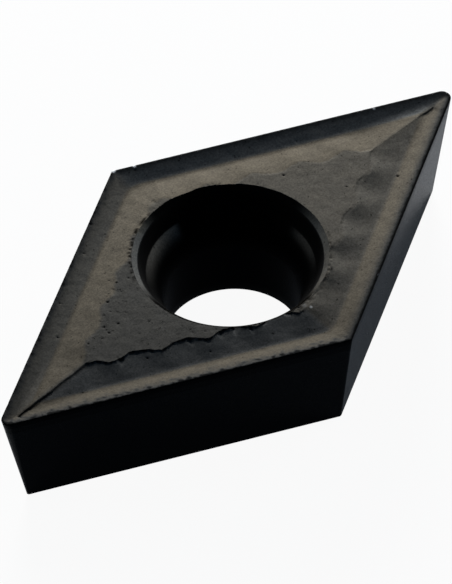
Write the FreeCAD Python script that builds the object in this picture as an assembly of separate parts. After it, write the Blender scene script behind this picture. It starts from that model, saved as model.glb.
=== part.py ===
import FreeCAD, Part
import math
import os

from FreeCAD import Vector

# Carbide turning insert, 55 degree rhombic, single sided, 7 degree clearance.
# Millimetres. The origin is on the screw hole's axis in the bottom face, Z is up,
# the two acute cutting corners lie on the X axis and the two obtuse ones on the Y axis.

# Blank
inscribed_circle = 9.525        # diameter that touches the four cutting edges
thickness = 3.97                # bottom face to cutting edge
corner_angle = 55.0             # included angle of the cutting corners, degrees
clearance_angle = 7.0           # lean of the flanks, degrees
nose_radius = 0.27              # cutting corners, at the cutting edge
nose_foot_radius = 0.06         # the same corners at the bottom face
blunt_radius = 0.1              # obtuse corners
hone_radius = 0.04              # rounding of the cutting edge

# Screw hole
bore_diameter = 4.4             # straight hole for an M4 clamp screw
rim_diameter = 6.28             # outer edge of the bevel, at the plateau
rim_bevel_width = 0.19          # radial
rim_bevel_depth = 0.15
cone_depth = 0.55               # taper between the bevel and the seat
cone_narrowing = 0.24           # radial, over the taper
seat_angle = 45.0               # slope of the rounded seat at its top, from the axis, degrees

# Pressed chip breaker, the same on the four edges
land_width = 0.08               # flat left along the cutting edge, its rounding included
valley_offset = 0.73            # cutting edge to the bottom of the groove
valley_depth = 0.2              # below the cutting edge
valley_radius = 0.6             # rounding of the groove's bottom
plateau_drop = 0.02             # plateau below the cutting edge
plateau_step = 0.03             # small riser where the back wall meets the plateau
rib_offset = 1.54               # cutting edge to the plateau at a rib
scallop_reach = 0.26            # how much further in the plateau starts at a hollow
scallop_pitch = 1.55            # along the edge, rib to rib
first_rib = 0.2                 # from the middle of the inscribed circle's touch point
nose_wall_angle = 8.0           # slope of the back wall on the ridge behind the nose, degrees
nose_ridge_end = 0.92           # from the sharp corner, along the diagonal, to the ridge's foot

# Values that follow
half_angle = math.radians(corner_angle / 2)
clearance = math.radians(clearance_angle)
inradius = inscribed_circle / 2
lean = thickness * math.tan(clearance)
corner_x = inradius / math.sin(half_angle)
corner_y = inradius / math.cos(half_angle)
edge_to_acute = inradius / math.tan(half_angle)
edge_to_obtuse = inradius * math.tan(half_angle)
plateau_z = thickness - plateau_drop
rim_radius = rim_diameter / 2
bore_radius = bore_diameter / 2
above = thickness / 4           # how far the cutting tools stand out of the blank
rake = math.atan2(valley_depth, valley_offset - land_width)


def groove_depth(bottom_offset):
    """Depth of the groove's bottom where it lies bottom_offset from the cutting edge."""
    return (bottom_offset - land_width) * math.tan(rake)


def rhombus(inset, z):
    """The four sharp corners, counter-clockwise from the +X nose, moved in by inset."""
    reach_x = (inradius - inset) / math.sin(half_angle)
    reach_y = (inradius - inset) / math.cos(half_angle)
    return [Vector(reach_x, 0, z), Vector(0, reach_y, z), Vector(-reach_x, 0, z), Vector(0, -reach_y, z)]


def round_nose(block, side):
    """Rounds the cutting corner on the +X or -X side, narrower towards the bottom."""
    corners = [e for e in block.Edges if e.BoundBox.ZLength > thickness / 2]
    nose = max(corners, key=lambda e: e.CenterOfMass.x * side)
    radii = (nose_foot_radius, nose_radius)
    if nose.Vertexes[0].Z > nose.Vertexes[1].Z:
        radii = (nose_radius, nose_foot_radius)
    return block.makeFillet(radii[0], radii[1], [nose])


def make_blank():
    """Tapered rhombic block with rounded corners and a rounded cutting edge."""
    bottom = rhombus(lean, 0)
    top = rhombus(0, thickness)
    outlines = [bottom[::-1], top]
    for i in range(4):
        j = (i + 1) % 4
        outlines.append([bottom[i], bottom[j], top[j], top[i]])
    faces = [Part.Face(Part.makePolygon(points + points[:1])) for points in outlines]
    block = Part.Solid(Part.Shell(faces))
    corners = [e for e in block.Edges if e.BoundBox.ZLength > thickness / 2]
    blunts = [e for e in corners if abs(e.CenterOfMass.x) < inradius]
    block = block.makeFillet(blunt_radius, blunts)
    block = round_nose(round_nose(block, 1), -1)
    cutting_edges = [e for e in block.Edges if e.BoundBox.ZMin > thickness / 2]
    return block.makeFillet(hone_radius, cutting_edges)


def make_bore():
    """Bevel, taper, rounded seat and straight hole, as one turned shape."""
    cone_top_radius = rim_radius - rim_bevel_width
    seat_radius = cone_top_radius - cone_narrowing
    cone_top_z = plateau_z - rim_bevel_depth
    seat_z = cone_top_z - cone_depth
    slope = math.radians(seat_angle)
    round_radius = (seat_radius - bore_radius) / (1 - math.cos(slope))
    seat_end_z = seat_z - round_radius * math.sin(slope)
    middle = slope / 2
    bevel_flare = rim_bevel_width / rim_bevel_depth

    axis_top = Vector(0, 0, plateau_z + above)
    flare_top = Vector(rim_radius + above * bevel_flare, 0, plateau_z + above)
    cone_top = Vector(cone_top_radius, 0, cone_top_z)
    seat_top = Vector(seat_radius, 0, seat_z)
    seat_middle = Vector(bore_radius + round_radius * (1 - math.cos(middle)), 0,
                         seat_end_z + round_radius * math.sin(middle))
    seat_end = Vector(bore_radius, 0, seat_end_z)
    hole_end = Vector(bore_radius, 0, -above)
    axis_end = Vector(0, 0, -above)
    profile = Part.Wire([
        Part.LineSegment(axis_top, flare_top).toShape(),
        Part.LineSegment(flare_top, cone_top).toShape(),
        Part.LineSegment(cone_top, seat_top).toShape(),
        Part.Arc(seat_top, seat_middle, seat_end).toShape(),
        Part.LineSegment(seat_end, hole_end).toShape(),
        Part.LineSegment(hole_end, axis_end).toShape(),
        Part.LineSegment(axis_end, axis_top).toShape(),
    ])
    return Part.Face(profile).revolve(Vector(0, 0, 0), Vector(0, 0, 1), 360)


def groove_section(along, bottom_offset, wall_top_offset, wall_top_depth):
    """The groove's cross-section at a distance along the edge, as a closed wire.

    Offsets run inwards from the cutting edge, and depths down from it.
    """
    outward = Vector(math.sin(half_angle), math.cos(half_angle), 0)
    towards_nose = Vector(math.cos(half_angle), -math.sin(half_angle), 0)
    foot = outward * inradius + towards_nose * along

    def place(offset, height):
        return foot - outward * offset + Vector(0, 0, thickness + height)

    depth = groove_depth(bottom_offset)
    wall = math.atan2(depth - wall_top_depth, wall_top_offset - bottom_offset)
    half_turn = (rake + wall) / 2
    run = valley_radius * math.tan(half_turn)
    lift = valley_radius * (1 / math.cos(half_turn) - 1)
    tilt = (rake - wall) / 2
    rake_end = place(bottom_offset - run * math.cos(rake), run * math.sin(rake) - depth)
    arc_middle = place(bottom_offset + lift * math.sin(tilt), lift * math.cos(tilt) - depth)
    wall_start = place(bottom_offset + run * math.cos(wall), run * math.sin(wall) - depth)
    wall_end = place(wall_top_offset, -wall_top_depth)
    riser_top = place(wall_top_offset + plateau_step, above)
    outside_top = place(land_width - above, above)
    outside = place(land_width - above, above * math.tan(rake))
    return Part.Wire([
        Part.LineSegment(outside, rake_end).toShape(),
        Part.Arc(rake_end, arc_middle, wall_start).toShape(),
        Part.LineSegment(wall_start, wall_end).toShape(),
        Part.LineSegment(wall_end, riser_top).toShape(),
        Part.LineSegment(riser_top, outside_top).toShape(),
        Part.LineSegment(outside_top, outside).toShape(),
    ])


def scallop_sections():
    """Sections at the ribs and hollows, from past the obtuse corner to the plateau's tip."""
    step = scallop_pitch / 2
    first = math.floor((-edge_to_obtuse - first_rib) / step) - 1
    tip_along = (inradius - rib_offset - scallop_reach) / math.tan(half_angle)
    last = math.floor((tip_along - first_rib) / step)
    sections = []
    for count in range(first, last + 1):
        wall_top_offset = rib_offset + scallop_reach * (count % 2)
        along = first_rib + count * step
        sections.append(groove_section(along, valley_offset, wall_top_offset, plateau_drop + plateau_step))
    return sections, first_rib + last * step


def nose_sections(start):
    """Sections on the narrowing stretch, where the two back walls meet in a ridge."""
    step = scallop_pitch / 2
    foot_along = edge_to_acute - nose_ridge_end * math.cos(half_angle)
    foot_offset = nose_ridge_end * math.sin(half_angle)
    narrowing = (valley_offset - foot_offset) / (foot_along - start)
    wall_slope = math.tan(math.radians(nose_wall_angle))
    sections = []
    for count in range(1, math.ceil((edge_to_acute - start) / step) + 1):
        bottom_offset = valley_offset - narrowing * step * count
        wall_top_offset = bottom_offset + groove_depth(bottom_offset) / wall_slope
        sections.append(groove_section(start + step * count, bottom_offset, wall_top_offset, 0))
    return sections


def make_chip_breaker():
    """What the press leaves out along the four edges, with the recess over the plateau."""
    scallops, tip_along = scallop_sections()
    groove = Part.makeLoft(scallops + nose_sections(tip_along), True, False)
    quarter = Part.makeBox(corner_x + above, corner_y + above, 2 * above, Vector(0, 0, thickness - above))
    groove = groove.common(quarter)
    pair = groove.fuse(groove.mirror(Vector(0, 0, 0), Vector(1, 0, 0)))
    ring = pair.fuse(pair.mirror(Vector(0, 0, 0), Vector(0, 1, 0)))
    recess_inset = (valley_offset + rib_offset) / 2
    outline = rhombus(recess_inset, plateau_z)
    recess = Part.Face(Part.makePolygon(outline + outline[:1])).extrude(Vector(0, 0, above))
    return ring, recess


def make_insert():
    ring, recess = make_chip_breaker()
    body = make_blank().cut(ring).cut(recess).cut(make_bore())
    return body.removeSplitter().Solids[0]


insert = make_insert()
os.makedirs("parts", exist_ok=True)
insert.exportStep("parts/insert_body.step")
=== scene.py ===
import bpy
import math
import numpy as np
from collections import namedtuple
from mathutils import Matrix, Vector, geometry


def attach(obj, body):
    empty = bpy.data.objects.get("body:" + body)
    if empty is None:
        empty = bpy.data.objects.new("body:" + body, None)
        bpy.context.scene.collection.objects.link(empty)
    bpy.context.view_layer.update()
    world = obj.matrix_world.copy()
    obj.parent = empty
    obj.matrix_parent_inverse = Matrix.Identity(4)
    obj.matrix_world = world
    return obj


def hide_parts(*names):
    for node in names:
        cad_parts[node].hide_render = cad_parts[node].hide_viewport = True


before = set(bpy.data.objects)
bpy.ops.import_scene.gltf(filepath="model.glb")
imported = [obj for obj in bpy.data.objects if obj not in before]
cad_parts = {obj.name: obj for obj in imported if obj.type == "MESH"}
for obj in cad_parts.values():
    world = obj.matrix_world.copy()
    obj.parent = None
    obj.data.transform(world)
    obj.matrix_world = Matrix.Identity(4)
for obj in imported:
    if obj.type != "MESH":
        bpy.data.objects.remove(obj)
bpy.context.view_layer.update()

# Sizes in millimetres, as in the part's source. Metres only where the mesh is written.
MM = 0.001
INRADIUS = 9.525 / 2
THICKNESS = 3.97
HALF_ANGLE = math.radians(27.5)
SIN, COS = math.sin(HALF_ANGLE), math.cos(HALF_ANGLE)
LEAN = math.tan(math.radians(7.0))
RIGHT, LEFT = 1, -1                     # the sides of the two noses, on +X and -X
NOSE_RADII = {RIGHT: 0.30, LEFT: 0.27}  # at the cutting edge
NOSE_FOOT, BLUNT_RADIUS = 0.06, 0.1
HONE, HONE_INSET, HONE_DEPTH = 0.0395, 0.0456, 0.04     # the cutting edge's rounding and its centre
BORE_RADIUS, RIM_RADIUS = 2.2, 3.14
BEVEL_WIDTH, BEVEL_DEPTH = 0.19, 0.15
CONE_DEPTH, CONE_NARROWING = 0.55, 0.24
SEAT_ANGLE = 45
LAND, VALLEY, VALLEY_DEPTH, VALLEY_BLEND = 0.07, 0.73, 0.2, 0.075
PLATEAU_DROP = 0.02
RIB_OFFSET, SCALLOP, PITCH, FIRST_RIB = 1.53, 0.235, 1.55, 0.2
NOSE_START, NARROWING = 5.625, 0.1127   # where along the edge the groove starts to narrow, and how fast
NOSE_SLOPE = math.tan(math.radians(8.0))
RAKE = VALLEY_DEPTH / (VALLEY - LAND)

# The four edges, by the signs of x and y in their quarter of the top. The step round the plateau has a noise
# seed, raggedness, and a riser's height, crumbling and width; the back wall has dents in its hollows; and the
# dark band of painted shade along the cutting edge has a widening, a frayed inner side and a steepness.
LOW_RISER = 0.003
Edge = namedtuple("Edge", "seed ragged riser crumbling width dent band_widening band_frayed band_steep")
EDGES = {
    (1, 1): Edge(21, 0.010, LOW_RISER, 0.2, 0.10, 0.012, 0.0, 0.02, 1.0),
    (-1, 1): Edge(22, 0.016, LOW_RISER, 0.5, 0.10, 0.0, 0.01, 0.03, 1.0),
    (-1, -1): Edge(23, 0.014, 0.034, 0.55, 0.03, 0.010, 0.065, 0.06, 1.4),
    (1, -1): Edge(24, 0.010, LOW_RISER, 0.3, 0.09, 0.022, 0.06, 0.012, 1.6),
}

# Small pits that the photograph shows: x, y, radius, depth
PITS = [
    (3.65, 1.24, 0.040, 0.045), (6.25, -1.32, 0.042, 0.045), (4.68, -0.57, 0.035, 0.03),
    (-3.82, -0.19, 0.04, 0.02), (-6.20, 1.49, 0.035, 0.03), (-4.13, 1.36, 0.055, 0.04),
    (-4.55, 0.45, 0.04, 0.045), (-4.96, 0.66, 0.045, 0.03), (-5.0, 0.52, 0.03, 0.02),
    (-5.03, 0.37, 0.04, 0.04), (-5.81, 0.51, 0.04, 0.025), (-4.23, 0.81, 0.05, 0.012),
    (-4.05, 0.62, 0.04, 0.010), (-4.91, -1.21, 0.045, 0.035), (-3.33, -2.41, 0.035, 0.03),
    (-3.35, 1.75, 0.04, 0.03), (-2.95, 1.62, 0.035, 0.025), (-2.12, 4.15, 0.06, 0.03),
    (0.55, 4.86, 0.05, 0.02), (-3.15, 3.43, 0.04, 0.02), (-5.2, 2.42, 0.035, 0.02),
    (5.1, 2.1, 0.035, 0.015), (2.3, 3.9, 0.03, 0.015), (-7.3, -0.75, 0.035, 0.02),
    (-4.62, 1.02, 0.05, 0.014), (-4.36, 0.98, 0.04, 0.012), (-4.88, 0.93, 0.03, 0.02),
    (-5.35, 0.36, 0.05, 0.013), (-5.55, 0.22, 0.035, 0.012), (-3.74, 0.95, 0.05, 0.012),
    (-3.52, 1.35, 0.045, 0.014), (-3.62, 1.62, 0.035, 0.02), (-3.86, 1.6, 0.03, 0.02),
    (-3.42, 2.02, 0.035, 0.018), (-4.4, -0.35, 0.04, 0.012), (-3.6, -1.25, 0.05, 0.012),
    (-2.9, -1.75, 0.05, 0.012), (-2.6, -1.95, 0.035, 0.014), (-3.2, -1.5, 0.04, 0.012),
    (-5.6, -0.6, 0.035, 0.012),
]
PIT_RELIEF = 0.6                        # share of that depth which the mesh gets, as the painted shade does the rest
DARK_PIT = 0.035                        # a pit this deep gets as much painted shade as pits get

# Bare spots where the coating is chipped: x, y, radius, strength
BARE_SPOTS = [
    (0.02, 5.30, 0.07, 0.9), (0.63, 4.97, 0.06, 0.9), (7.78, 1.22, 0.05, 0.6), (1.62, -2.62, 0.045, 0.5),
    (0.15, -3.42, 0.05, 0.4), (0.05, -3.24, 0.09, 0.06), (2.62, -4.0, 0.035, 0.4), (-5.3, -2.62, 0.03, 0.4),
]

# Mesh density: points on the loops, rows along the top's features, and even fields on the top and underside.
# A margin is kept from the loops, and a gap from points that are there already.
EDGE_POINTS, NOSE_POINTS, BLUNT_POINTS, RIM_POINTS, SEAT_ROWS = 216, 16, 8, 400, 13
ROW_SPACING, ROW_MARGIN, ROW_GAP = 0.036, 0.012, 0.0125
FIELD_SPACING, FIELD_JITTER, FIELD_MARGIN, FIELD_GAP = 0.055, 0.12, 0.02, 0.036
UNDER_SPACING, UNDER_JITTER, UNDER_MARGIN = 0.45, 0.1, 0.2
SHARP_ANGLE = math.radians(33)          # faces that meet at more than this show a crease

# Slots of the insert's mesh, in the order of its materials
TOP, GROUND, SEAT, SHADED_EDGE, SHADED_UNDER_EDGE = range(5)

rng = np.random.default_rng(11)


# Noise along a line and over the plane, from seeded waves
def waves(count, low, high, seed):
    r = np.random.default_rng(seed)
    k = np.exp(r.uniform(np.log(low), np.log(high), count))
    return k, r.uniform(0, 2 * math.pi, count), r.uniform(0, 2 * math.pi, count)


def line_noise(t, low, high, seed, count=24):
    """Wavy value of about unit size along t, with wavelengths between low and high."""
    k, phase, _ = waves(count, 2 * math.pi / high, 2 * math.pi / low, seed)
    return np.sin(np.multiply.outer(t, k) + phase).sum(-1) * math.sqrt(2.0 / count)


def plane_noise(x, y, low, high, seed, count=40):
    """The same over the plane."""
    k, phase, turn = waves(count, 2 * math.pi / high, 2 * math.pi / low, seed)
    total = np.zeros_like(x)
    for ki, pi, ti in zip(k, phase, turn):
        total += np.sin(ki * (x * math.cos(ti) + y * math.sin(ti)) + pi)
    return total * math.sqrt(2.0 / count)


# Soft steps
def smooth(t):
    t = np.clip(t, 0, 1)
    return t * t * (3 - 2 * t)


def rise(t, start, width):
    """0 up to start, then up to 1 over the width."""
    return smooth((t - start) / width)


def fall(t, end, width):
    """1, then down to 0 over the width before end."""
    return smooth((end - t) / width)


def window(t, start, rising, end, falling):
    return rise(t, start, rising) * fall(t, end, falling)


def bell(t, width):
    return np.exp(-(t / width) ** 2)


def smooth_min(a, b, k):
    h = np.maximum(k - np.abs(a - b), 0) / k
    return np.minimum(a, b) - h * h * k / 4


# Top surface
def in_quarter(x, y, sx, sy):
    return (np.sign(x + 1e-9) == sx) & (np.sign(y + 1e-9) == sy)


def nose_shape(x, y):
    """Offset inwards from the nearer nose's arc, and where along the edge that arc starts."""
    radius = np.where(x > 0, NOSE_RADII[RIGHT], NOSE_RADII[LEFT])
    centre = (INRADIUS - radius) / SIN
    return radius - np.hypot(np.abs(x) - centre, np.abs(y)), centre * COS


def edge_coordinates(x, y):
    """Offset inwards from the nearest cutting edge, and distance along it towards the acute corner."""
    ax, ay = np.abs(x), np.abs(y)
    offset = INRADIUS - (ax * SIN + ay * COS)
    along = ax * COS - ay * SIN
    # the groove turns the obtuse corners in a small curve
    other = offset + 2 * ax * SIN
    blend = 0.35 * smooth(offset / 0.5) + 1e-6
    rounded = smooth_min(offset, other, blend)
    # the land follows the rounded nose
    nose, arc_start = nose_shape(x, y)
    return np.where(along > arc_start, np.minimum(nose, rounded + 0.04), rounded), along


def hollow_share(along):
    """0 at a rib of the chip breaker, 1 in the middle of a hollow."""
    return 0.5 - 0.5 * np.cos(2 * math.pi * (along - FIRST_RIB) / PITCH)


def apart(along):
    """0 where the grooves of two edges meet at the obtuse corner, 1 further along."""
    return rise(along, -1.5, 0.35)


def smooth_ledge(along):
    """Where the back wall ends without raggedness; the ribs draw back towards the obtuse corner."""
    return RIB_OFFSET + SCALLOP * hollow_share(along) + 0.13 * fall(along, -0.6, 0.6)


def step_offset(along, sx, sy):
    """Where the back wall meets the plateau on one of the four edges, with its ragged outline."""
    edge = EDGES[(sx, sy)]
    wander = line_noise(along, 0.35, 1.3, edge.seed)
    rough = line_noise(along, 0.15, 0.35, edge.seed + 60)
    pointed = 0.1 * np.sqrt(hollow_share(along)) * (1 - hollow_share(along))
    return smooth_ledge(along) + (pointed + edge.ragged * (0.9 * wander + 0.45 * rough)) * apart(along)


# Small step beside the ridge behind each nose: distances from the hole's axis where it starts and ends,
# its height there, and how much higher it gets
RIDGE_STEPS = {RIGHT: (8.3, 9.27, 0.02, 0.0), LEFT: (6.1, 9.5, 0.016, 0.022)}


def ridge_step(x, y, side):
    """The step beside the ridge, on its -Y side."""
    start, end, height, growth = RIDGE_STEPS[side]
    reach = np.abs(x)
    away = -y - 0.03 - 0.012 * line_noise(x, 0.4, 1.6, seed=71)
    height = height + growth * rise(reach, 7.4, 1.6)
    length = window(reach, start, 0.5, end, 0.12)
    return height * length * smooth(away / 0.03) * np.exp(-np.maximum(away - 0.03, 0) / 0.22)


def rim_wear(x, y):
    """Broken line where the riser comes close to the screw hole's bevel."""
    radius, angle = np.hypot(x, y), np.degrees(np.arctan2(y, x))
    left = window(angle, 92, 8, 156, 8)
    right = window(angle, -102, 8, -33, 8)
    broken = np.clip(0.45 + 0.7 * line_noise(np.radians(angle) * RIM_RADIUS, 0.2, 1.1, seed=81), 0, 1.4)
    return 0.016 * broken * bell(radius - RIM_RADIUS - 0.035, 0.022) * (left + 0.8 * right)


def groove_and_plateau(x, y):
    """Depth below the cutting edge of the pressed form, each quarter with the details of its edge."""
    offset, along = edge_coordinates(x, y)
    bottom = VALLEY - NARROWING * np.maximum(along - NOSE_START, 0)
    bottom_depth = RAKE * (bottom - LAND)
    rake = RAKE * (offset - LAND)
    near_tip = rise(along, 4.9, 1.2)
    nose_wall = bottom_depth - (offset - bottom) * NOSE_SLOPE
    hollow = hollow_share(along) * rise(offset, 0.8, 0.6) * (1 - near_tip)
    own = apart(along)
    depth = np.zeros_like(x)
    for (sx, sy), edge in EDGES.items():
        riser_height = LOW_RISER + (edge.riser - LOW_RISER) * own
        foot = PLATEAU_DROP + riser_height
        reach = smooth_ledge(along)
        if (sx, sy) == (-1, 1):
            # this wall is scalloped less than its upper edge
            reach = reach - 0.8 * SCALLOP * (hollow_share(along) - 0.5)
        slope = (VALLEY_DEPTH - foot) / (reach - VALLEY)
        wall = bottom_depth - (offset - bottom) * slope
        if (sx, sy) == (1, 1):
            # this wall is a little crowned
            share = np.clip((offset - bottom) / (smooth_ledge(along) - bottom), 0, 1)
            wall = wall - 0.022 * share * (1 - share) * 4 * (1 - near_tip) * own
        wall = wall * (1 - near_tip) + nose_wall * near_tip
        crumble = edge.crumbling * line_noise(along, 0.25, 0.9, edge.seed + 40)
        level = PLATEAU_DROP + riser_height * (1 - near_tip) * np.maximum(1 + crumble, 0.1)
        floor = np.maximum(wall, level) + edge.dent * hollow * own
        riser = smooth((offset - step_offset(along, sx, sy)) / edge.width)
        inner = floor * (1 - riser) + PLATEAU_DROP * riser
        inner = np.where(near_tip > 0.999, np.maximum(nose_wall, PLATEAU_DROP), inner)
        value = smooth_min(rake, inner, VALLEY_BLEND)
        if sy < 0:
            value = value + ridge_step(x, y, sx)
        depth = np.where(in_quarter(x, y, sx, sy), value, depth)
    return np.where(offset < LAND, 0, np.maximum(depth, 0)), offset


def depth_at(x, y):
    """Depth of the top surface below the cutting edge, with its wear, waviness and pits."""
    depth, offset = groove_and_plateau(x, y)
    waviness = 0.0020 * plane_noise(x, y, 0.35, 1.4, seed=7) + 0.0006 * plane_noise(x, y, 0.12, 0.3, seed=8)
    depth = depth + rim_wear(x, y) + np.maximum(waviness, -0.004) * smooth(offset / 0.3)
    depth = np.maximum(depth, 0.0005)
    for px, py, radius, deep in PITS:
        depth = depth + PIT_RELIEF * deep * np.exp(-((x - px) ** 2 + (y - py) ** 2) / (radius * radius) * 1.6)
    return depth


def painted_pit_shade(x, y):
    """Painted shade in the pits, which makes them look dark and deeper than the mesh makes them."""
    shade = np.ones_like(x)
    for px, py, radius, deep in PITS:
        dark = np.clip(deep / DARK_PIT, 0.35, 0.95)
        shade = shade * (1 - dark * np.exp(-((x - px) ** 2 + (y - py) ** 2) / (radius * radius) * 1.1))
    return shade


# Outline loops, counter-clockwise from the middle of the +X nose
def outline(inset, noses, blunt):
    """Rounded rhombus whose straight sides lie inset inside the sharp one at the cutting edge."""
    tilt = math.pi / 2 - HALF_ANGLE
    right, left = noses
    right_x = (INRADIUS - inset - right) / SIN
    left_x = (INRADIUS - inset - left) / SIN
    blunt_y = (INRADIUS - inset - blunt) / COS

    def arc(cx, cy, radius, start, end, count):
        turn = np.linspace(start, end, count)
        return np.c_[cx + radius * np.cos(turn), cy + radius * np.sin(turn)]

    corners = [
        arc(right_x, 0, right, -tilt, tilt, NOSE_POINTS),
        arc(0, blunt_y, blunt, tilt, math.pi - tilt, BLUNT_POINTS),
        arc(-left_x, 0, left, math.pi - tilt, math.pi + tilt, NOSE_POINTS),
        arc(0, -blunt_y, blunt, math.pi + tilt, 2 * math.pi - tilt, BLUNT_POINTS),
    ]
    steps = np.linspace(0, 1, EDGE_POINTS + 2)[1:-1, None]
    pieces = []
    for corner, following in zip(corners, corners[1:] + corners[:1]):
        pieces += [corner, corner[-1] * (1 - steps) + following[0] * steps]
    return np.concatenate(pieces)


def noses_at(depth, shrink=0.0):
    """Radii of the right and the left nose at a depth; they narrow towards the bottom."""
    share = depth / THICKNESS
    return [NOSE_RADII[side] * (1 - share) + NOSE_FOOT * share - shrink for side in (RIGHT, LEFT)]


# Mesh store
verts, tones, faces, face_slots = [], [], [], []


def add_points(xy, height, tone=np.nan):
    """Stores points in millimetres; where no tone is given, their place decides it."""
    start = sum(len(v) for v in verts)
    count = len(xy)
    verts.append(np.c_[xy, np.zeros(count) + height])
    tones.append(np.zeros(count) + tone)
    return np.arange(start, start + count)


def strip(upper, lower, slot):
    """Quads between two closed loops, seen from outside when the upper one lies above."""
    count = len(upper)
    for i in range(count):
        j = (i + 1) % count
        faces.append((upper[i], lower[i], lower[j], upper[j]))
        face_slots.append(slot)


def fill(outer, inner, loose, slot, flip):
    """Triangles between an outer and an inner loop through loose points, each given as ids and places."""
    outer_xy, inner_xy = outer[1], inner[1]
    ids, xy = (np.concatenate(parts) for parts in zip(outer, inner, loose))
    n, m = len(outer_xy), len(inner_xy)
    edges = [(i, (i + 1) % n) for i in range(n)] + [(n + i, n + (i + 1) % m) for i in range(m)]
    found = geometry.delaunay_2d_cdt([Vector(p) for p in xy], edges, [], 0, 1e-7)
    origin = [o[0] for o in found[3]]
    tris = np.array([[origin[k] for k in f] for f in found[2]])
    middle = xy[tris].mean(1)
    all_inner = (tris >= n).all(1) & (tris < n + m).all(1)
    in_hole = all_inner & (np.hypot(middle[:, 0], middle[:, 1]) < np.hypot(*inner_xy.T).min() + 1)
    all_outer = (tris < n).all(1)
    beyond = all_outer & ((np.abs(middle) @ [SIN, COS]) > (np.abs(outer_xy) @ [SIN, COS]).max() + 1e-6)
    for tri in tris[~in_hole & ~beyond]:
        a, b, c = xy[tri]
        area = (b[0] - a[0]) * (c[1] - a[1]) - (b[1] - a[1]) * (c[0] - a[0])
        if abs(area) < 1e-12:
            continue
        order = tri if (area > 0) != flip else tri[::-1]
        faces.append(tuple(int(ids[k]) for k in order))
        face_slots.append(slot)


def edge_wear(count):
    """How far the cutting edge is worn back at each point of its outline."""
    t = np.arange(count) * 0.05
    worn = 0.0035 * line_noise(t, 0.15, 0.8, seed=31) + 0.002 * line_noise(t, 0.1, 0.2, seed=32)
    return np.clip(worn, 0, 0.008)


def make_cutting_edge():
    """Rounded and slightly worn cutting edge, over from the land to the flank: first and last loop."""
    first, last = None, None
    for row, angle in enumerate((90, 68, 46, 24, 4, -7)):
        turn = math.radians(angle)
        inset = HONE_INSET - HONE * math.cos(turn)
        loop = outline(inset, noses_at(0, inset), BLUNT_RADIUS - inset)
        direction = loop / np.abs(loop @ np.diag([SIN, COS])).sum(1)[:, None]
        loop = loop - direction * (edge_wear(len(loop)) * math.cos(turn) * 0.6)[:, None]
        ids = add_points(loop, THICKNESS - (HONE_DEPTH - HONE * math.sin(turn)))
        if first is None:
            first = (ids, loop)
        else:
            # the lower rows of the rounding take the darker edge coating: painted shade
            strip(last, ids, TOP if row < 3 else SHADED_EDGE)
        last = ids
    return first, last


def make_flanks(last):
    """Flanks, down to a slightly rounded bottom edge: the last loop."""
    # the upper rows of the flanks take the edge coatings, which reflect less: painted shade along the cutting
    # edge
    rows = [(0.12, SHADED_EDGE), (0.22, SHADED_EDGE), (0.36, SHADED_UNDER_EDGE), (0.5, SHADED_UNDER_EDGE)]
    rows += [(depth, GROUND) for depth in (0.8, 1.3, 1.8, 2.3, 2.8, 3.3, 3.6, 3.8, 3.9, THICKNESS - 0.03)]
    for depth, slot in rows:
        loop = outline(depth * LEAN + 0.001, noses_at(depth), BLUNT_RADIUS)
        ids = add_points(loop, THICKNESS - depth)
        strip(last, ids, slot)
        last = ids
    for inset, height in ((0.008, 0.01), (0.03, 0.0)):
        loop = outline(THICKNESS * LEAN + inset, noses_at(THICKNESS), BLUNT_RADIUS)
        ids = add_points(loop, height)
        strip(last, ids, GROUND)
        last = ids
    return last, loop


# Screw hole: its points' angles, those in degrees from -180 to 180, the foot of its bevel and the painted
# shade of its dull parts
around = np.arange(RIM_POINTS) * 2 * math.pi / RIM_POINTS
bearing = (np.degrees(around) + 180) % 360 - 180
cone_radius = RIM_RADIUS - BEVEL_WIDTH
cone_z = THICKNESS - PLATEAU_DROP - BEVEL_DEPTH
BEVEL_SHADE, TAPER_SHADE, SEAT_SHADE = 0.05, 0.1, 0.06


def ring(radius, turn=around):
    return np.c_[radius * np.cos(turn), radius * np.sin(turn)]


def find_rim():
    """Radius round the hole where the bevel's cone meets the top surface, a little ragged."""
    radius = np.full(RIM_POINTS, RIM_RADIUS)
    for _ in range(12):
        level = depth_at(*ring(radius).T)
        radius = 0.5 * radius + 0.5 * (RIM_RADIUS - (level - PLATEAU_DROP) * BEVEL_WIDTH / BEVEL_DEPTH)
    return radius + np.maximum(0.006 * line_noise(around, 0.03, 0.2, seed=51), 0)


rim = find_rim()


def rim_at(turn):
    """Radius of the rim at any angle from 0 to a full turn."""
    return np.interp(turn, np.r_[around, 2 * math.pi], np.r_[rim, rim[0]])


def painted_bevel_light():
    """Painted light on the bevel: bright on the two sides, and painted shade towards and away from the long
    diagonal.
    """
    left = window(bearing, 96, 22, 176, 24)
    right = window(bearing, -84, 20, 4, 34)
    return BEVEL_SHADE + 1.17 * left + 1.2 * right


def pressed_rows():
    """Taper and rounded seat of the hole: radius, height and painted light and shade, from the top down."""
    slope = math.radians(SEAT_ANGLE)
    seat_radius = cone_radius - CONE_NARROWING
    round_radius = (seat_radius - BORE_RADIUS) / (1 - math.cos(slope))
    seat_z = cone_z - CONE_DEPTH
    centre_z = seat_z - round_radius * math.sin(slope)
    rows = [(cone_radius - 0.006, cone_z - 0.02, TAPER_SHADE)]
    for share in (0.25, 0.5, 0.75, 0.97):
        rows.append((cone_radius - CONE_NARROWING * share, cone_z - CONE_DEPTH * share, TAPER_SHADE))
    # the seat gets a painted highlight in a crescent on the left and a weak one on the right
    left = 1.7 * window(bearing, 82, 7, 152, 50)
    right = 0.5 * window(bearing, -50, 25, 2, 14)
    for angle in np.linspace(SEAT_ANGLE - 1, 0, SEAT_ROWS):
        turn = math.radians(angle)
        radius = BORE_RADIUS + round_radius * (1 - math.cos(turn))
        tone = SEAT_SHADE + 1.9 * rise(angle, 20, 22) * left + 1.9 * rise(angle, 31, 12) * right
        rows.append((radius, centre_z + round_radius * math.sin(turn), tone))
    return rows


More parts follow.
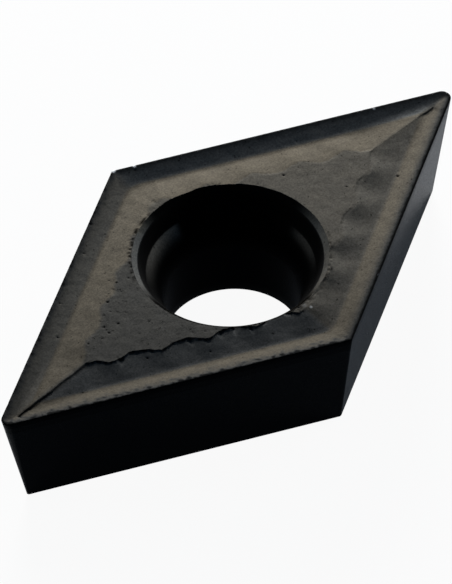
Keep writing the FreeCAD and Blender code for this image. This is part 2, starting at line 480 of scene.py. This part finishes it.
def make_bore(rim_ids, rim_xy, rim_z):
    """Bevel, taper, seat and straight wall of the screw hole: the last loop."""
    last = rim_ids
    # the bevel's two rings follow the rim, just inside it and at its foot
    foot_xy, foot_z = ring(cone_radius + 0.02), cone_z + 0.012
    for share in (0.1, 1.0):
        places = rim_xy * (1 - share) + foot_xy * share
        ids = add_points(places, rim_z * (1 - share) + foot_z * share, painted_bevel_light())
        strip(ids, last, TOP)
        last = ids
    rows = [(*row, SEAT) for row in pressed_rows()]
    rows += [(BORE_RADIUS, z, 1.0, GROUND) for z in (1.6, 1.2, 0.8, 0.4, 0.05)]
    rows += [(BORE_RADIUS + 0.03, 0.0, 1.0, GROUND)]
    for radius, z, tone, slot in rows:
        places = ring(radius)
        ids = add_points(places, z, tone)
        strip(ids, last, slot)
        last = ids
    return last, places


# Loose points of the top: rows along the features, then an even field between them
def feature_rows():
    chunks = []
    for (sx, sy), edge in EDGES.items():
        t = np.arange(-2.6, INRADIUS / math.tan(HALF_ANGLE), ROW_SPACING)
        across_step = (-0.03, 0.0, 0.5 * edge.width, edge.width, edge.width + 0.02)
        rows = [(step_offset(t, sx, sy) + shift)[t < 6.0] for shift in across_step]
        rows += [np.full(len(t), inset) for inset in (0.07, 0.09, 0.11, 0.135, 0.165)]
        for row in rows:
            along = t[: len(row)]
            ax = (INRADIUS - row) * SIN + along * COS
            ay = (INRADIUS - row) * COS - along * SIN
            keep = (ax > 0.01) & (ay > 0.01)
            chunks.append(np.c_[ax[keep] * sx, ay[keep] * sy])
    ridge = np.arange(6.1, 9.7, ROW_SPACING)
    for side in (RIGHT, LEFT):
        for y in (0.0, -0.02, -0.04, -0.06, -0.085):
            chunks.append(np.c_[ridge * side, np.full(len(ridge), y)])
    circle = np.arange(520) * 2 * math.pi / 520
    for away in (0.018, 0.036, 0.056, 0.08):
        chunks.append(ring(rim_at(circle) + away, circle))
    for px, py, radius, _ in PITS + BARE_SPOTS:
        for size, count in ((0, 1), (0.4, 6), (0.8, 10), (1.3, 12)):
            chunks.append([px, py] + ring(size * radius, np.arange(count) * 2 * math.pi / count))
    return np.concatenate(chunks)


def field(spacing, jitter):
    """Jittered triangular grid over the whole insert."""
    xs = np.arange(-10.4, 10.4, spacing)
    ys = np.arange(-5.5, 5.5, spacing * math.sqrt(3) / 2)
    gx, gy = np.meshgrid(xs, ys)
    gx[1::2] += spacing / 2
    places = np.c_[gx.ravel(), gy.ravel()]
    return places + rng.uniform(-jitter, jitter, places.shape) * spacing


def inside_top(places, margin):
    """Keeps the places that lie within the top's two loops by a margin."""
    x, y = places.T
    ax, ay = np.abs(x), np.abs(y)
    offset = INRADIUS - np.abs(places) @ [SIN, COS]
    nose, arc_start = nose_shape(x, y)
    offset = np.where(ax * COS - ay * SIN > arc_start, np.minimum(offset, nose), offset)
    blunt_y = (INRADIUS - BLUNT_RADIUS) / COS
    blunt = BLUNT_RADIUS - np.hypot(x, ay - blunt_y)
    offset = np.where((ay > blunt_y) & (ax < 0.06), np.minimum(offset, blunt), offset)
    away = np.hypot(x, y) - rim_at(np.arctan2(y, x) % (2 * math.pi))
    return (offset > HONE_INSET + margin) & (away > margin)


def thin_out(places, taken, distance):
    """Drops places nearer than distance to one already taken, by a coarse grid."""
    cells = {}
    limit = distance * distance

    def cell(p):
        return int(p[0] // distance), int(p[1] // distance)

    def is_free(p):
        cx, cy = cell(p)
        for ix in (cx - 1, cx, cx + 1):
            for iy in (cy - 1, cy, cy + 1):
                for q in cells.get((ix, iy), ()):
                    if (p[0] - q[0]) ** 2 + (p[1] - q[1]) ** 2 < limit:
                        return False
        return True

    for p in taken:
        cells.setdefault(cell(p), []).append(p)
    kept = []
    for p in places:
        if is_free(p):
            kept.append(p)
            cells.setdefault(cell(p), []).append(p)
    return np.array(kept)


def make_top(edge_loop, rim_loop):
    loops_xy = np.concatenate([edge_loop[1], rim_loop[1]])
    features = feature_rows()
    features = thin_out(features[inside_top(features, ROW_MARGIN)], loops_xy, ROW_GAP)
    even = field(FIELD_SPACING, FIELD_JITTER)
    even = thin_out(even[inside_top(even, FIELD_MARGIN)], np.concatenate([loops_xy, features]), FIELD_GAP)
    loose_xy = np.concatenate([features, even])
    loose_ids = add_points(loose_xy, THICKNESS - depth_at(*loose_xy.T))
    fill(edge_loop, rim_loop, (loose_ids, loose_xy), TOP, flip=False)


def make_underside(foot_loop, bore_loop):
    under = field(UNDER_SPACING, UNDER_JITTER)
    offset = INRADIUS - THICKNESS * LEAN - np.abs(under) @ [SIN, COS]
    under = under[(offset > UNDER_MARGIN) & (np.hypot(*under.T) > BORE_RADIUS + UNDER_MARGIN)]
    fill(foot_loop, bore_loop, (add_points(under, 0.0), under), GROUND, flip=True)


top_loop, last_loop = make_cutting_edge()
foot_loop = make_flanks(last_loop)
rim_xy = ring(rim)
rim_z = THICKNESS - depth_at(*rim_xy.T)
rim_ids = add_points(rim_xy, rim_z)
bore_loop = make_bore(rim_ids, rim_xy, rim_z)
make_top(top_loop, (rim_ids, rim_xy))
make_underside(foot_loop, bore_loop)

points = np.concatenate(verts)
mesh = bpy.data.meshes.new("insert_detail")
mesh.from_pydata([tuple(p) for p in points * MM], [], [tuple(int(i) for i in f) for f in faces])
mesh.polygons.foreach_set("material_index", np.array(face_slots, np.int32))
insert = bpy.data.objects.new("insert_detail", mesh)
bpy.context.scene.collection.objects.link(insert)
mesh.shade_smooth()
mesh.set_sharp_from_angle(angle=SHARP_ANGLE)

# The painted shade of the dark band along the cutting edge, by the distance inwards from where it starts
BAND = (0, 0.06, 0.12, 0.17, 0.25, 0.35, 0.45, 0.6)
BAND_SHADE = (0.05, 0.08, 0.22, 0.42, 0.66, 0.8, 0.91, 1)


def plateau_and_band(x, y, offset, along):
    """1 on the plateau, and the distance inwards from the start of the dark band of painted shade along the
    cutting edge.
    """
    plateau, band = np.zeros_like(x), np.zeros_like(x)
    bites = np.maximum(plane_noise(x, y, 0.17, 0.6, seed=93), -0.8)
    for (sx, sy), edge in EDGES.items():
        inside = in_quarter(x, y, sx, sy)
        back = 0.12 if (sx, sy) == (-1, 1) else 0.0
        inner = smooth((offset - step_offset(along, sx, sy) + back) / (0.05 + back))
        plateau = np.where(inside, inner * fall(along, 6.0, 0.3), plateau)
        start = offset - edge.band_widening - edge.band_frayed * bites
        band = np.where(inside, np.maximum(start, 0) * edge.band_steep, band)
    return plateau, band


def painted_step_shade(x, y, offset, along, near_left):
    """Painted shade at the foot of the high riser on the near left edge, and at the step beside the ridges.
    """
    foot = bell(offset - step_offset(along, -1, -1) + 0.005, 0.038) * near_left * (along < 6)
    foot = foot * np.clip(0.65 + 0.6 * line_noise(along, 0.12, 0.7, seed=95), 0, 1)
    reach = np.abs(x)
    left_strength = rise(reach, 6.2, 0.4) * (0.65 + 0.35 * rise(reach, 7.3, 1.5))
    right_strength = 0.95 * rise(reach, 8.5, 0.5)
    ridge = bell(y + 0.06, np.where(x < 0, 0.048, 0.04)) * fall(reach, np.where(x > 0, 9.25, 9.48), 0.1)
    return np.maximum(foot, ridge * np.where(x < 0, left_strength, right_strength))


def painted_rim_shade(x, y):
    """Painted shade in a broken row of dark beads beside the screw hole's bevel."""
    radius, angle = np.hypot(x, y), np.degrees(np.arctan2(y, x))
    round_rim = np.radians(angle) * RIM_RADIUS
    beads = np.clip(0.65 + 1.1 * line_noise(round_rim, 0.14, 0.5, seed=96), 0, 1)
    row = RIM_RADIUS + 0.06 + 0.015 * line_noise(round_rim, 0.3, 1.2, seed=97)
    left = window(angle, 96, 6, 160, 12)
    right = window(angle, -102, 8, -20, 12)
    return beads * bell(radius - row, 0.06) * (left + 0.6 * right)


def tone_at(x, y):
    """Painted light and shade of the coating on each part of the top, and the cool hue painted into its
    shaded parts, as the photograph shows them.
    """
    offset, along = edge_coordinates(x, y)
    plateau, band = plateau_and_band(x, y, offset, along)
    edge = np.interp(band, BAND, BAND_SHADE)
    # sides of the top, then its rake faces, back walls and the fold between them
    right, far = smooth(x / 0.4 + 0.5), smooth(y / 0.4 + 0.5)
    near_left, near_right, far_left = (1 - right) * (1 - far), right * (1 - far), (1 - right) * far
    left = fall(x, 0.5, 3)
    rake = 1 - rise(offset, 0.62, 0.12)
    wall = rise(offset, 0.7, 0.1) * (1 - plateau)
    fold = bell(offset - 0.69, 0.08)
    # painted light and shade: how much lighter or darker each of them is drawn as the light falls on it, with
    # painted crease shade in the fold
    changes = (
        (plateau, -0.23 - 0.26 * left),
        (right, 0.03 * plateau - 0.05 * wall),
        (wall * near_left, -0.24),
        (wall * right * far, -0.19),
        (wall * (1 - far) * fall(along, 0.4, 1.5), -0.1),
        (wall * rise(y, 2.4, 1.4), 0.13),
        (rake * near_left, -0.07),
        (rake * near_right, 0.06),
        (rake * far_left, -0.08),
        (fold * far_left, -0.25),
    )
    # painted falloff of the light across the top: darker towards the near long side, a little towards the far
    # one
    across = np.clip((x * SIN + y * COS) / (INRADIUS - 0.4), -1, 1)
    tone = edge * (0.82 + 0.165 * across - 0.185 * across * across)
    for part, change in changes:
        tone = tone * (1 + change * part)
    # painted shade right at the cutting edge and in the pits
    tone = (0.2 + 0.8 * tone) * (0.3 + 0.7 * smooth(band / 0.075)) * painted_pit_shade(x, y)
    # painted shade at the steps, beside the ridges and in the beads by the bevel
    tone = tone * (1 - 0.8 * painted_step_shade(x, y, offset, along, near_left)) * (1 - 0.9 * painted_rim_shade(x, y))
    # cool hue painted into the shaded parts
    painted_cool_shade = np.maximum.reduce([
        1 - edge,
        0.9 * wall * near_left,
        0.35 * wall * near_right,
        rake * far * (0.45 + 0.55 * right),
        (0.3 + 0.3 * left) * plateau,
    ])
    return tone, painted_cool_shade


def bare_at(x, y):
    bare = np.zeros(len(x))
    for px, py, radius, strength in BARE_SPOTS:
        bare = np.maximum(bare, strength * smooth(1.3 - np.hypot(x - px, y - py) / radius))
    return bare


x, y, z = points.T
top_side = z > THICKNESS - 0.3
placed_tone, painted_cool_shade = tone_at(x, y)
tone = np.concatenate(tones)
tone = np.where(np.isnan(tone), np.where(top_side, placed_tone, 1.0), tone)
shades = {"painted_light_and_shade": tone, "painted_shade_hue": painted_cool_shade * top_side, "bare_spot": bare_at(x, y) * top_side}
for name, values in shades.items():
    mesh.attributes.new(name, "FLOAT", "POINT").data.foreach_set("value", values.astype(np.float32))


# Materials
def node_material(name, base, rough, level, tint):
    """New material; base and rough are what a viewer that reads no nodes shows."""
    material = bpy.data.materials.new(name)
    material.use_nodes = True
    tree = material.node_tree
    shader = tree.nodes["Principled BSDF"]
    shader.inputs["Specular IOR Level"].default_value = level
    shader.inputs["Specular Tint"].default_value = (*tint, 1)
    shader.inputs["Base Color"].default_value = (*base, 1)
    shader.inputs["Roughness"].default_value = rough
    return material, tree, shader


def noise_node(tree, coordinates, scale, detail):
    node = tree.nodes.new("ShaderNodeTexNoise")
    node.inputs["Scale"].default_value = scale
    node.inputs["Detail"].default_value = detail
    node.inputs["Roughness"].default_value = 0.6
    tree.links.new(coordinates, node.inputs["Vector"])
    return node.outputs["Fac"]


def ramp_node(tree, source, stops):
    node = tree.nodes.new("ShaderNodeValToRGB")
    ramp = node.color_ramp
    while len(ramp.elements) < len(stops):
        ramp.elements.new(0.5)
    for element, (position, colour) in zip(ramp.elements, stops):
        element.position = position
        element.color = (*colour, 1)
    tree.links.new(source, node.inputs["Fac"])
    return node.outputs["Color"]


def grey(v):
    return (v, v, v)


def scaled(colour, factor):
    return tuple(factor * v for v in colour)


def bump_node(tree, source, distance, strength, normal=None):
    node = tree.nodes.new("ShaderNodeBump")
    node.inputs["Distance"].default_value = distance
    node.inputs["Strength"].default_value = strength
    tree.links.new(source, node.inputs["Height"])
    if normal is not None:
        tree.links.new(normal, node.inputs["Normal"])
    return node.outputs["Normal"]


def mix_node(tree, kind, colour):
    """Mixes a colour with a second one: the node, and the sockets for the factor and that second colour."""
    node = tree.nodes.new("ShaderNodeMix")
    node.data_type = "RGBA"
    node.blend_type = kind
    factor, under, over = node.inputs[0], node.inputs[6], node.inputs[7]
    factor.default_value = 1.0
    tree.links.new(colour, under)
    return node, factor, over


def multiply(tree, colour, other):
    node, _, over = mix_node(tree, "MULTIPLY", colour)
    tree.links.new(other, over)
    return node.outputs[2]


def paint_over(tree, colour, mask, paint):
    node, factor, over = mix_node(tree, "MIX", colour)
    tree.links.new(mask, factor)
    over.default_value = (*paint, 1)
    return node.outputs[2]


def attribute_node(tree, name):
    node = tree.nodes.new("ShaderNodeAttribute")
    node.attribute_name = name
    return node.outputs["Fac"]


# warm tint for the lit parts and cool tint painted into the shaded parts
WARM, COOL = (1.0, 0.95, 0.88), (0.90, 1.0, 1.17)
BARE_CARBIDE = (0.55, 0.56, 0.57)


def pressed_coating(name, base, rough, edge_tint):
    """Matte sintered surface under the coating: a fine grain, soft clouds and a few dark pores."""
    material, tree, shader = node_material(name, base, rough, 0.5, grey(edge_tint))
    shader.inputs["Metallic"].default_value = 1.0
    place = tree.nodes.new("ShaderNodeTexCoord").outputs["Object"]
    grain = noise_node(tree, place, 15000, 3)
    cloud = noise_node(tree, place, 1500, 2)
    pore = noise_node(tree, place, 9000, 1)
    tone = ramp_node(tree, grain, [(0.36, scaled(base, 0.82)), (0.5, base), (0.64, scaled(base, 1.19))])
    tone = multiply(tree, tone, ramp_node(tree, cloud, [(0.3, grey(0.9)), (0.7, (1.0, 0.99, 0.97))]))
    tone = multiply(tree, tone, ramp_node(tree, pore, [(0.24, grey(0.4)), (0.31, grey(1.0))]))
    # painted light and shade of each part, from the mesh
    tone = multiply(tree, tone, attribute_node(tree, "painted_light_and_shade"))
    # cool hue painted into the shaded parts, from the mesh
    hue = ramp_node(tree, attribute_node(tree, "painted_shade_hue"), [(0.0, WARM), (1.0, COOL)])
    tone = multiply(tree, tone, hue)
    tone = paint_over(tree, tone, attribute_node(tree, "bare_spot"), BARE_CARBIDE)
    tree.links.new(tone, shader.inputs["Base Color"])
    normal = bump_node(tree, grain, 0.000010, 0.45)
    normal = bump_node(tree, cloud, 0.00002, 0.2, normal)
    tree.links.new(normal, shader.inputs["Normal"])
    return material


def ground_coating(name, level):
    """Smooth ground faces: near black, with a faint cool sheen at a flat angle."""
    material, tree, shader = node_material(name, (0.002, 0.0025, 0.0035), 0.3, level, (0.78, 0.92, 1.0))
    place = tree.nodes.new("ShaderNodeTexCoord").outputs["Object"]
    grain = noise_node(tree, place, 14000, 2)
    base = ramp_node(tree, grain, [(0.35, (0.0002, 0.0003, 0.0005)), (0.7, (0.0010, 0.0012, 0.0016))])
    tree.links.new(base, shader.inputs["Base Color"])
    rough = ramp_node(tree, grain, [(0.3, grey(0.34)), (0.7, grey(0.26))])
    tree.links.new(rough, shader.inputs["Roughness"])
    tree.links.new(bump_node(tree, grain, 0.000004, 0.4), shader.inputs["Normal"])
    return material


insert.data.materials.append(pressed_coating("coating_top", (0.0995, 0.0936, 0.0811), 0.67, 0.5))
insert.data.materials.append(ground_coating("coating_ground", 0.037))
# darker copy of the top coating for the hole: painted shade
insert.data.materials.append(pressed_coating("coating_seat_shaded", (0.040, 0.038, 0.035), 0.6, 1.0))
# edge copies of the ground coating that reflect less: painted shade along the top of the flanks
insert.data.materials.append(ground_coating("coating_edge_shaded", 0.012))
insert.data.materials.append(ground_coating("coating_under_edge_shaded", 0.024))
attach(insert, "root")
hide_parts("insert_body")

# Floor: white for the camera, weakly so for reflected and transmitted rays, and it takes the shadow
FLOOR_RADIUS, FLOOR_SIDES, FLOOR_DROP = 3.0, 96, 0.00001
FLOOR_WEIGHTS = (("Is Camera Ray", 0.94), ("Is Glossy Ray", 0.06), ("Is Transmission Ray", 0.06))


def math_node(tree, operation, a, b):
    node = tree.nodes.new("ShaderNodeMath")
    node.operation = operation
    tree.links.new(a, node.inputs[0])
    if isinstance(b, float):
        node.inputs[1].default_value = b
    else:
        tree.links.new(b, node.inputs[1])
    return node.outputs[0]


def make_floor():
    turns = np.linspace(0, 2 * math.pi, FLOOR_SIDES + 1)[:-1]
    corners = [(FLOOR_RADIUS * math.cos(a), FLOOR_RADIUS * math.sin(a), 0) for a in turns]
    mesh = bpy.data.meshes.new("floor")
    mesh.from_pydata(corners, [], [tuple(range(FLOOR_SIDES))])
    floor = bpy.data.objects.new("floor", mesh)
    floor.location.z = -FLOOR_DROP
    bpy.context.scene.collection.objects.link(floor)
    material = bpy.data.materials.new("floor_white")
    material.use_nodes = True
    tree = material.node_tree
    tree.nodes.remove(tree.nodes["Principled BSDF"])
    diffuse = tree.nodes.new("ShaderNodeBsdfDiffuse")
    diffuse.inputs["Color"].default_value = (0.9, 0.9, 0.9, 1)
    glow = tree.nodes.new("ShaderNodeEmission")
    glow.inputs["Color"].default_value = (1, 1, 1, 1)
    rays = tree.nodes.new("ShaderNodeLightPath")
    weights = [math_node(tree, "MULTIPLY", rays.outputs[name], weight) for name, weight in FLOOR_WEIGHTS]
    share = math_node(tree, "ADD", math_node(tree, "ADD", weights[0], weights[1]), weights[2])
    mix = tree.nodes.new("ShaderNodeMixShader")
    for source, socket in zip((share, diffuse.outputs[0], glow.outputs[0]), mix.inputs):
        tree.links.new(source, socket)
    tree.links.new(mix.outputs[0], tree.nodes["Material Output"].inputs["Surface"])
    floor.data.materials.append(material)


make_floor()

# Light: a low key lamp behind the insert, a weaker one on each side, and a dim room
world = bpy.data.worlds.new("room")
bpy.context.scene.world = world
world.use_nodes = True
room = world.node_tree.nodes["Background"]
room.inputs["Color"].default_value = (0.28, 0.58, 1.0, 1)
room.inputs["Strength"].default_value = 0.11


def soft_lamp(name, direction, distance, size, radiance, colour=(1, 1, 1)):
    """Square area lamp that looks at the origin; radiance is how bright its face is."""
    data = bpy.data.lights.new(name, "AREA")
    data.shape = "RECTANGLE"
    data.size = data.size_y = size
    data.energy = radiance * math.pi * size * size
    data.color = colour
    lamp = bpy.data.objects.new(name, data)
    away = Vector(direction).normalized()
    lamp.location = away * distance
    lamp.rotation_euler = away.to_track_quat("Z", "Y").to_euler()
    bpy.context.scene.collection.objects.link(lamp)


soft_lamp("key", (0.656, 0.681, 0.323), 0.13, 0.05, 33.0)
soft_lamp("side_right", (0.942, -0.166, 0.292), 0.30, 0.10, 8.0, (0.88, 0.96, 1.03))
soft_lamp("side_left", (-0.505, 0.803, 0.316), 0.30, 0.10, 4.0, (0.85, 0.95, 1.05))

# Camera, at the photograph's place: focal length and longer side in pixels, angles in degrees
FOCAL, LONG_SIDE, SENSOR = 7594.01, 584, 36.0
azimuth, elevation, roll = (math.radians(v) for v in (-43.74348, 46.73723, 1.89768))
forward = Vector((
    -math.sin(azimuth) * math.cos(elevation),
    math.cos(azimuth) * math.cos(elevation),
    -math.sin(elevation),
))
level_right = forward.cross(Vector((0, 0, 1))).normalized()
level_down = forward.cross(level_right)
camera_right = math.cos(roll) * level_right + math.sin(roll) * level_down
camera_down = -math.sin(roll) * level_right + math.cos(roll) * level_down
camera_data = bpy.data.cameras.new("camera")
camera_data.sensor_fit = "AUTO"
camera_data.sensor_width = SENSOR
camera_data.sensor_height = SENSOR
camera_data.lens = FOCAL * SENSOR / LONG_SIDE
camera_data.clip_start = 0.005
camera_data.clip_end = 20
camera = bpy.data.objects.new("camera", camera_data)
turned = Matrix((camera_right, -camera_down, -forward)).transposed().to_4x4()
turned.translation = Vector((-114.6354, -119.5122, 178.1995)) * MM
camera.matrix_world = turned
bpy.context.scene.collection.objects.link(camera)
bpy.context.scene.camera = camera
bpy.context.scene.view_settings.view_transform = "Standard"
